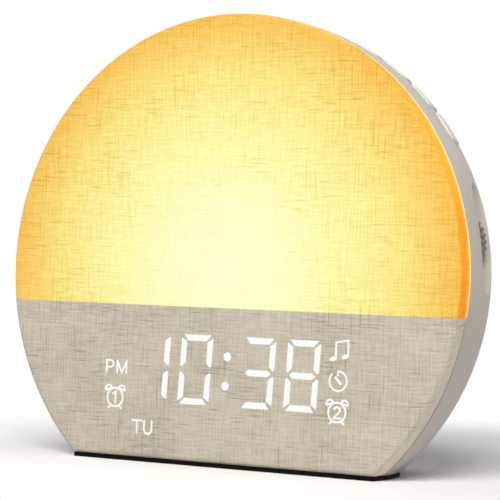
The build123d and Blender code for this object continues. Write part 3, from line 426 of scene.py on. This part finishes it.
def grained(name, light, dark, grain, roughness=0.55, bump=0.15, specular=0.4):
    """Grained solid such as moulded plastic, rubber, paint or paper, with a soft highlight.

    Grains are drawn 0.2 to 0.7 mm wide, coarser than real ones are.
    """
    made, tree, shader = new_material(name)
    place = object_place(tree)
    patches = noise(tree, place, PATCH_SCALE, 3.0)[0]
    fine = noise(tree, place, 1 / grain, 2.0)[0]
    relief = add_node(
        tree, "ShaderNodeBump", {"Strength": bump, "Distance": GRAIN_DEPTH, "Height": fine}
    )
    feed(tree, shader, {
        "Base Color": mix(tree, step(tree, patches, *NOISE_SPAN), colour(light), colour(dark)),
        "Roughness": step(tree, fine, *NOISE_SPAN, roughness - 0.05, roughness + 0.07),
        "Normal": relief.outputs[0],
        "Specular IOR Level": specular,
    })
    return made


def leak_light(made):
    """Lets the housing's rim glow where light from the lamp room leaks past the cloth's hem."""
    tree = made.node_tree
    shader = next(n for n in tree.nodes if n.type == "BSDF_PRINCIPLED")
    _, y, z = split(tree, object_place(tree))
    rim_y = FRONT_Y + RIM_DEPTH
    near = step(tree, y, rim_y, rim_y + LEAK_WIDTH, 1.0, 0.0)
    lit = step(tree, z, DIVIDER_Z - 1 * MM, DIVIDER_Z + 1 * MM)
    feed(tree, shader, {
        "Emission Strength": math(tree, "MULTIPLY", near, lit),
        "Emission Color": colour(LEAK_COLOUR),
    })
    return made


def glowing_shell():
    """Milky polycarbonate front shell: its rim glows above the light divider; its colour is
    painted, lit above the divider and shaded below.
    """
    made, tree, shader = new_material("milky_polycarbonate")
    place = object_place(tree)
    lit = step(tree, split(tree, place)[2], DIVIDER_Z - 3 * MM, DIVIDER_Z + 4 * MM)
    cloud = noise(tree, place, SHELL_SCALE, 2.0)[0]
    feed(tree, shader, {
        # painted light and shade: a lit colour above the divider, a dark shaded one below
        "Base Color": mix(tree, lit, colour("#6F6A60"), colour("#C9A468")),
        "Emission Color": mix(tree, lit, grey(0.0), colour("#F2CE7C")),
        "Emission Strength": 0.75,
        "Roughness": step(tree, cloud, *NOISE_SPAN, 0.35, 0.5),
    })
    return made


def lit_mark():
    """White LED light behind the cloth, as bright as paper in daylight, a little uneven."""
    made, tree, shader = new_material("white_led_light")
    cloud = noise(tree, object_place(tree), MARK_SCALE, 2.0)[0]
    light = mix(tree, step(tree, cloud, 0.35, 0.65), colour("#FFFFFF"), colour("#FBF8F2"))
    feed(tree, shader, {
        "Base Color": colour("#2A2826"),
        "Emission Color": light,
        "Emission Strength": 0.96,
        "Roughness": 0.9,
    })
    return made


def bright_metal(name, code):
    """Bright metal such as plated steel or drawn aluminium, finely brushed."""
    made, tree, shader = new_material(name)
    fine = noise(tree, object_place(tree), BRUSHING_SCALE, 3.0)[0]
    feed(tree, shader, {
        "Base Color": colour(code),
        "Metallic": 1.0,
        "Roughness": step(tree, fine, *NOISE_SPAN, 0.25, 0.42),
    })
    return made


MATERIALS = {
    # linen-look cloth that the lamp shines through, as linen_cloth tells
    "linen_fabric": linen_cloth(),
    # polycarbonate shell under the cloth, as glowing_shell tells
    "milky_plastic": glowing_shell(),
    # ABS with a fine mould grain: an even, matt, warm grey that shades softly
    "housing_plastic": leak_light(
        grained("moulded_ABS_warm_grey", "#CBC4B9", "#C5BEB3", 0.32 * MM, bump=0.06)
    ),
    # ABS with a satin polish: paler than the housing, with a clearer highlight
    "key_plastic": grained("satin_ABS_light", "#DAD6CA", "#D4D0C4", 0.4 * MM, 0.42, 0.02),
    # ABS as matt as the housing and a little darker
    "door_plastic": grained("moulded_ABS_door", "#B5AFA3", "#AFA99D", 0.32 * MM),
    # EPDM rubber: deep black, almost without a highlight
    "pad_rubber": grained("black_EPDM_rubber", "#060605", "#0A0A09", 0.5 * MM, 0.8, 0.2, 0.1),
    # soft-touch elastomer: dull mid grey
    "wheel_plastic": grained("soft_touch_TPE", "#84857E", "#787972", 0.35 * MM, 0.6, 0.2),
    # black ABS: dark and matt
    "frame_plastic": grained("black_ABS", "#1C1C1C", "#222222", 0.4 * MM),
    # white ABS: bright and matt
    "white_plastic": grained("white_ABS", "#F0F0EC", "#E9E9E4", 0.4 * MM),
    # white solder mask: pale, with some gloss
    "white_board": grained("white_solder_mask", "#E8E8E2", "#E0E0DA", 0.6 * MM, 0.35),
    # green solder mask: deep green, with some gloss
    "green_board": grained("green_solder_mask", "#1E5A33", "#184E2B", 0.6 * MM, 0.3),
    # phosphor in silicone: glossy yellow
    "led_plastic": grained("phosphor_silicone", "#EFE07A", "#E8D66A", 0.3 * MM, 0.3),
    # milky acrylic: pale and glossy
    "lens_plastic": grained("milky_acrylic", "#E9E6DC", "#E2DFD4", 0.3 * MM, 0.25),
    # smoked polyester film: glossy grey-brown
    "tinted_film": grained("smoked_polyester_film", "#8C8070", "#847868", 0.5 * MM, 0.2),
    # zinc plate: cool silver
    "screw_steel": bright_metal("zinc_plated_steel", "#B9BABC"),
    # dip-coated steel: black, with some gloss
    "speaker_steel": grained("black_e_coated_steel", "#161616", "#1B1B1B", 0.3 * MM, 0.4),
    # pressed paper: dark grey, dull and fibrous
    "speaker_paper": grained("pressed_paper", "#1D1C1B", "#262422", 0.7 * MM, 0.85, 0.5),
    # nitrile rubber: black and dull
    "speaker_rubber": grained("nitrile_rubber", "#131313", "#181818", 0.4 * MM, 0.7),
    # sintered ferrite: dark grey, rough as stone
    "ferrite": grained("sintered_ferrite", "#2B2B2D", "#333336", 0.3 * MM, 0.6, 0.4),
    # nickel plate: warm silver
    "plated_steel": bright_metal("nickel_plated_steel", "#C6C3BC"),
    # epoxy moulding compound: near black, with a faint grain
    "chip_plastic": grained("epoxy_moulding_compound", "#141414", "#1A1A1A", 0.2 * MM, 0.5),
    # drawn aluminium: pale silver
    "capacitor_can": bright_metal("aluminium_can", "#C4C6C8"),
    # acetal: smooth mid grey with a waxy highlight
    "stem_plastic": grained("acetal_grey", "#6B6964", "#64625D", 0.3 * MM, 0.35),
    # nylon: black, a little glossy
    "holder_plastic": grained("black_nylon", "#1A1A1A", "#212121", 0.3 * MM, 0.5),
}
LIT_LIGHT = lit_mark()
for part in frame["record"]["subparts"]:
    dress(nodes[part["node"]], MATERIALS[part["material_slot"]])


# ---------------------------------------------------------------- cloth face
FACE_RINGS = 44
EDGE_RINGS = 6
SIDE_RINGS = 5


def face_outline(inset, foot_count=120, corner_count=10, rim_count=260):
    """Points (x, z) and outward normals of the face's outline, moved in by inset."""
    foot = FOOT_Z + inset
    corner_z = FOOT_Z + CORNER_R
    corner_x = sqrt((FACE_R - CORNER_R) ** 2 - (DISC_Z - corner_z) ** 2)
    rim_from = atan2(corner_z - DISC_Z, corner_x)
    corner = (corner_z, CORNER_R - inset)
    rim = (DISC_Z, FACE_R - inset)
    found = []
    for i in range(foot_count):
        found.append(((-corner_x + 2 * corner_x * i / foot_count, foot), (0, -1)))
    for middle_x, (middle_z, radius), start, end, count in (
        (corner_x, corner, -pi / 2, rim_from, corner_count),
        (0.0, rim, rim_from, pi - rim_from, rim_count),
        (-corner_x, corner, pi - rim_from, 3 * pi / 2, corner_count),
    ):
        for i in range(count):
            turn = start + (end - start) * i / count
            out = (cos(turn), sin(turn))
            found.append(((middle_x + radius * out[0], middle_z + radius * out[1]), out))
    return found


def cloth_face():
    """The cloth: a flat face, a round edge and a side that wraps back to its hem.

    Its UV map holds each point's place in the cloth before it was stretched over the shell.
    """
    face_y = FRONT_Y + MARK_T
    side = FRONT_Y + CLOTH_WRAP - face_y - EDGE_R
    edge = face_outline(EDGE_R)
    bm = bmesh.new()
    pattern = bm.loops.layers.uv.new("cut")
    cut = {}
    rings = []

    def add_ring(places):
        """One ring of vertices from pairs of a place and its place in the cut cloth."""
        ring = [bm.verts.new(place) for place, _ in places]
        cut.update(zip(ring, (flat for _, flat in places)))
        rings.append(ring)

    def add_ring_past_edge(inset, depth, travel):
        """Ring moved in by inset and back by depth, and how far along the cloth it lies."""
        add_ring([
            ((x, face_y + depth, z), (edge_x + nx * travel, edge_z + nz * travel))
            for ((x, z), _), ((edge_x, edge_z), (nx, nz)) in zip(face_outline(inset), edge)
        ])

    for k in range(1, FACE_RINGS + 1):
        share = k / FACE_RINGS
        scaled = [(x * share, DISC_Z + (z - DISC_Z) * share) for (x, z), _ in edge]
        add_ring([((x, face_y, z), (x, z)) for x, z in scaled])
    for k in range(1, EDGE_RINGS + 1):
        turn = pi / 2 * k / EDGE_RINGS
        add_ring_past_edge(EDGE_R * (1 - sin(turn)), EDGE_R * (1 - cos(turn)), EDGE_R * turn)
    for k in range(1, SIDE_RINGS + 1):
        run = side * k / SIDE_RINGS
        add_ring_past_edge(0.0, EDGE_R + run, EDGE_R * pi / 2 + run)
    centre = bm.verts.new((0.0, face_y, DISC_Z))
    cut[centre] = (0.0, DISC_Z)

    count = len(edge)
    for i in range(count):
        bm.faces.new((centre, rings[0][i], rings[0][(i + 1) % count]))
    for inner, outer in zip(rings, rings[1:]):
        for i in range(count):
            j = (i + 1) % count
            bm.faces.new((inner[i], outer[i], outer[j], inner[j]))
    for face in bm.faces:
        for loop in face.loops:
            loop[pattern].uv = cut[loop.vert]
    bmesh.ops.recalc_face_normals(bm, faces=bm.faces)
    if next(f for f in bm.faces if centre in f.verts).normal.y > 0:
        bmesh.ops.reverse_faces(bm, faces=bm.faces)

    made = mesh_object("linen_face", bm)
    wall = made.modifiers.new("wall", "SOLIDIFY")
    wall.thickness = CLOTH_T - MARK_T
    wall.offset = -1
    apply_modifiers(made)
    smooth(made, angle=50)
    dress(made, MATERIALS["linen_fabric"])
    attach(made, BODY)
    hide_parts("front_fabric")


# ---------------------------------------------------------------- lit digits and signs
def digit_strokes():
    """Outlines of the seven strokes of an upright digit, about its middle, by their letters."""
    w, h = DIGIT_W / 2, DIGIT_H / 2
    s, e, m, tip = STROKE_W, STROKE_END, STROKE_MITRE, STROKE_TIP
    top = [(-w + e, h), (w - e, h), (w - e - m, h - s), (m + e - w, h - s)]
    half = [(s / 2 - w + tip, 0), (s - w + 2 * tip, s / 2), (w - s - 2 * tip, s / 2)]
    upper_right = [
        (w, h - 1.2 * e),
        (w, e + 2 * tip),
        (w - s / 3, e),
        (w - s, s + tip),
        (w - s, h - s - e / 2),
    ]
    return {
        "a": top,
        "b": upper_right,
        "c": [(x, -z) for x, z in upper_right],
        "d": [(x, -z) for x, z in top],
        "e": [(-x, -z) for x, z in upper_right],
        "f": [(-x, z) for x, z in upper_right],
        "g": half + [(-x, -z) for x, z in half],
    }


def plate(bm, outline):
    """Thin closed plate, half of it sunk in the cloth, from an outline of (x, z) points."""
    turn = sum(
        (b[0] - a[0]) * (b[1] + a[1]) for a, b in zip(outline, outline[1:] + outline[:1])
    )
    points = outline if turn < 0 else outline[::-1]
    front = [bm.verts.new((x, FRONT_Y, z)) for x, z in points]
    back = [bm.verts.new((x, FRONT_Y + 2 * MARK_T, z)) for x, z in points]
    bm.faces.new(front)
    bm.faces.new(back[::-1])
    for i in range(len(points)):
        j = (i + 1) % len(points)
        bm.faces.new((front[j], front[i], back[i], back[j]))


def arc(x, z, radius, start, end, count=24):
    """Points of an arc, angles in degrees."""
    turns = [radians(start + (end - start) * i / count) for i in range(count + 1)]
    return [(x + radius * cos(t), z + radius * sin(t)) for t in turns]


def placed(place, points):
    """Points given in millimetres from a place that is in millimetres, in metres."""
    return [((place[0] + x) * MM, (place[1] + z) * MM) for x, z in points]


ROUND_END = 0.9  # angle between the points of a line's round end
SHARPEST = 0.2  # keeps a line's corners from running out far


def line(bm, points, width=SIGN_LINE, closed=False):
    """Even line along points; an open line has round ends."""
    half = width / 2
    count = len(points)
    normals = []
    for (ax, az), (bx, bz) in zip(points, points[1:] + points[:1]):
        run = hypot(bx - ax, bz - az)
        normals.append(((az - bz) / run, (bx - ax) / run))
    left, right = [], []
    for i, (x, z) in enumerate(points):
        near = [normals[k] for k in (i - 1, i) if closed or 0 <= k < count - 1]
        nx = sum(n[0] for n in near) / len(near)
        nz = sum(n[1] for n in near) / len(near)
        size = max(nx * nx + nz * nz, SHARPEST)
        left.append((x + nx / size * half, z + nz / size * half))
        right.append((x - nx / size * half, z - nz / size * half))

    def round_end(end, before):
        """Points round an end of the line, from its left to its right as it is left."""
        way = atan2(end[1] - before[1], end[0] - before[0])
        turns = (way + ROUND_END, way, way - ROUND_END)
        return [(end[0] + half * cos(t), end[1] + half * sin(t)) for t in turns]

    for i in range(count if closed else count - 1):
        j = (i + 1) % count
        quad = [left[i], left[j], right[j], right[i]]
        if not closed and j == count - 1:
            quad[2:2] = round_end(points[-1], points[-2])
        if not closed and i == 0:
            quad += round_end(points[0], points[1])
        plate(bm, quad)


def lit_digits():
    """The time, in seven-stroke digits with a colon."""
    lit = {"1": "bc", "0": "abcdef", "3": "abcdg", "8": "abcdefg"}
    strokes = digit_strokes()
    lean = tan(DIGIT_SLANT)
    places = [
        COLON_X + side * (COLON_SPACE / 2 + (i + 0.5) * DIGIT_PITCH)
        for side, i in ((-1, 1), (-1, 0), (1, 0), (1, 1))
    ]
    bm = bmesh.new()
    for digit, place in zip("1038", places):
        for key in lit[digit]:
            plate(bm, [(place + x + z * lean, DIGIT_Z + z) for x, z in strokes[key]])
    for side in (-1, 1):
        z = DIGIT_Z + side * DOT_SPREAD / 2
        x = COLON_X + side * DOT_SPREAD / 2 * lean
        plate(bm, arc(x, z, DOT_R, 0, 345, 23))
    finish_marks("time_digits", bm)


def alarm_sign(bm, number):
    """Alarm sign: a twin-bell clock with a number."""
    place = ALARM_PLACES[number]
    line(bm, placed(place, arc(0, 0, 3.3, 0, 350, 35)), closed=True)
    for side in (-1, 1):
        bell = arc(side * 2.75, 2.85, 1.35, 90 - side * 112, 90 + side * 68, 10)
        line(bm, placed(place, bell))
        line(bm, placed(place, [bell[0], bell[-1]]))
        line(bm, placed(place, [(side * 1.9, -2.9), (side * 2.7, -3.9)]))
    if number == "1":
        figure = [(-0.95, 1.05), (0.2, 1.85), (0.2, -2.0)]
    else:
        figure = arc(0, 0.75, 1.1, 160, -20, 10) + [(-1.15, -1.9), (1.25, -1.9)]
    line(bm, placed(place, figure))


def lit_signs():
    """Signs beside the time: PM, TU, a note, a dial and two alarm clocks."""
    bm = bmesh.new()
    letters_pm = (
        [(0, 0), (0, 4.3), (1.6, 4.3)],
        arc(1.6, 3.1, 1.2, 90, -90, 10) + [(0, 1.9)],
        [(4.5, 0), (4.5, 4.3)],
        [(4.5, 4.3), (6.45, 0.1), (8.4, 4.3)],
        [(8.4, 4.3), (8.4, 0)],
    )
    letters_tu = (
        [(0, 4.4), (4.1, 4.4)],
        [(2.05, 4.4), (2.05, 0)],
        [(5.1, 4.5)] + arc(6.7, 1.5, 1.6, 180, 360, 12) + [(8.3, 4.5)],
    )
    for place, letters in ((PM_PLACE, letters_pm), (DAY_PLACE, letters_tu)):
        for points in letters:
            line(bm, placed(place, points))

    # note: its two stems and their beam, and two tilted heads
    line(bm, placed(NOTE_PLACE, [(0, 0), (0, 5.5), (4.6, 6.3), (4.6, 0.9)]))
    turns = [2 * pi * i / 20 for i in range(20)]
    for head_x, head_z in ((-1.05, 0), (3.45, 0.8)):
        head = [(head_x + 1.261 * cos(t), head_z + 0.8 * sin(t) + 0.3 * cos(t)) for t in turns]
        plate(bm, placed(NOTE_PLACE, head))

    # dial: an open ring, its mark at the top and its pointer
    line(bm, placed(DIAL_PLACE, arc(0, 0, 3.3, 92, -222, 34)))
    line(bm, placed(DIAL_PLACE, [(-0.1, 3.25), (-0.15, 1.85)]))
    line(bm, placed(DIAL_PLACE, [(-1.0, 1.15), (1.0, -0.85)]), 1.35 * SIGN_LINE)
    for number in ALARM_PLACES:
        alarm_sign(bm, number)
    finish_marks("clock_signs", bm)


def finish_marks(name, bm):
    """Makes the object of a set of lit marks."""
    made = mesh_object(name, bm)
    dress(made, LIT_LIGHT)
    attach(made, BODY)


cloth_face()
lit_digits()
lit_signs()


# ---------------------------------------------------------------- studio
def seen_directly(tree):
    """1 for camera, mirror and glass rays, and 0 for the rays that only carry light on."""
    rays = add_node(tree, "ShaderNodeLightPath").outputs
    seen = math(tree, "MAXIMUM", rays["Is Camera Ray"], rays["Is Glossy Ray"])
    return math(tree, "MAXIMUM", seen, rays["Is Transmission Ray"])


def paper_floor():
    """White paper floor that fades into the white room."""
    bm = bmesh.new()
    corners = ((-1, -1), (1, -1), (1, 1), (-1, 1))
    bm.faces.new([bm.verts.new((x * FLOOR_HALF, y * FLOOR_HALF, 0)) for x, y in corners])
    made, tree, shader = new_material("white_paper_floor")
    away = add_node(
        tree, "ShaderNodeVectorMath", {0: object_place(tree), 1: FLOOR_MIDDLE}, operation="DISTANCE"
    ).outputs["Value"]
    seen = seen_directly(tree)
    feed(tree, shader, {
        "Base Color": mix(tree, seen, grey(FLOOR_BOUNCE), grey(FLOOR_SEEN)),
        "Roughness": 0.9,
        "Specular IOR Level": 0.0,
    })
    far = math(tree, "MULTIPLY", seen, step(tree, away, *FLOOR_FADE))
    white = add_node(tree, "ShaderNodeEmission", {"Strength": 1.0})
    mixed = add_node(
        tree, "ShaderNodeMixShader", {0: far, 1: shader.outputs[0], 2: white.outputs[0]}
    )
    output = next(n for n in tree.nodes if n.type == "OUTPUT_MATERIAL")
    tree.links.new(mixed.outputs[0], output.inputs[0])
    floor = mesh_object("studio_floor", bm)
    dress(floor, made)


def room():
    """Room that looks white and lights faintly, more from its ceiling than from its walls."""
    world = bpy.data.worlds.new("studio_room")
    bpy.context.scene.world = world
    world.use_nodes = True
    tree = world.node_tree
    tree.nodes.clear()
    way = add_node(tree, "ShaderNodeTexCoord").outputs["Generated"]
    rise = math(tree, "MAXIMUM", split(tree, way)[2], 0.0)
    ceiling = math(tree, "MULTIPLY", rise, rise)
    light = math(tree, "MULTIPLY_ADD", ceiling, CEILING_LIGHT, WALL_LIGHT)
    level = add_node(
        tree, "ShaderNodeMix", {0: seen_directly(tree), 2: light, 3: 1.0}, data_type="FLOAT"
    ).outputs[0]
    shown = add_node(tree, "ShaderNodeBackground", {"Color": grey(1.0), "Strength": level})
    add_node(tree, "ShaderNodeOutputWorld", {"Surface": shown.outputs[0]})


def lamps():
    """Square softboxes."""
    for name, place, power in LAMPS:
        lamp = bpy.data.lights.new(name, "AREA")
        lamp.shape = "SQUARE"
        lamp.size = LAMP_SIZE
        lamp.energy = power
        holder = bpy.data.objects.new(name, lamp)
        bpy.context.scene.collection.objects.link(holder)
        holder.location = place
        holder.rotation_mode = "QUATERNION"
        holder.rotation_quaternion = (LAMP_AIM - Vector(place)).to_track_quat("-Z", "Y")


def camera():
    """Camera on the object's right front, level with its middle."""
    level = cos(CAMERA_RISE)
    back = Vector((sin(CAMERA_TURN) * level, -cos(CAMERA_TURN) * level, sin(CAMERA_RISE)))
    right = (-back).cross(Vector((0, 0, 1))).normalized()
    up = right.cross(-back)
    rolled_right = cos(CAMERA_ROLL) * right + sin(CAMERA_ROLL) * up
    rolled_up = cos(CAMERA_ROLL) * up - sin(CAMERA_ROLL) * right
    view = bpy.data.cameras.new("studio_camera")
    view.lens = CAMERA_LENS
    view.sensor_width = 36.0
    view.clip_start = 0.05
    view.clip_end = 50.0
    holder = bpy.data.objects.new("studio_camera", view)
    bpy.context.scene.collection.objects.link(holder)
    turned = Matrix((rolled_right, rolled_up, back)).transposed().to_4x4()
    holder.matrix_world = Matrix.Translation(CAMERA_TARGET + back * CAMERA_DISTANCE) @ turned
    bpy.context.scene.camera = holder


paper_floor()
room()
lamps()
camera()
bpy.context.scene.view_settings.view_transform = "Standard"
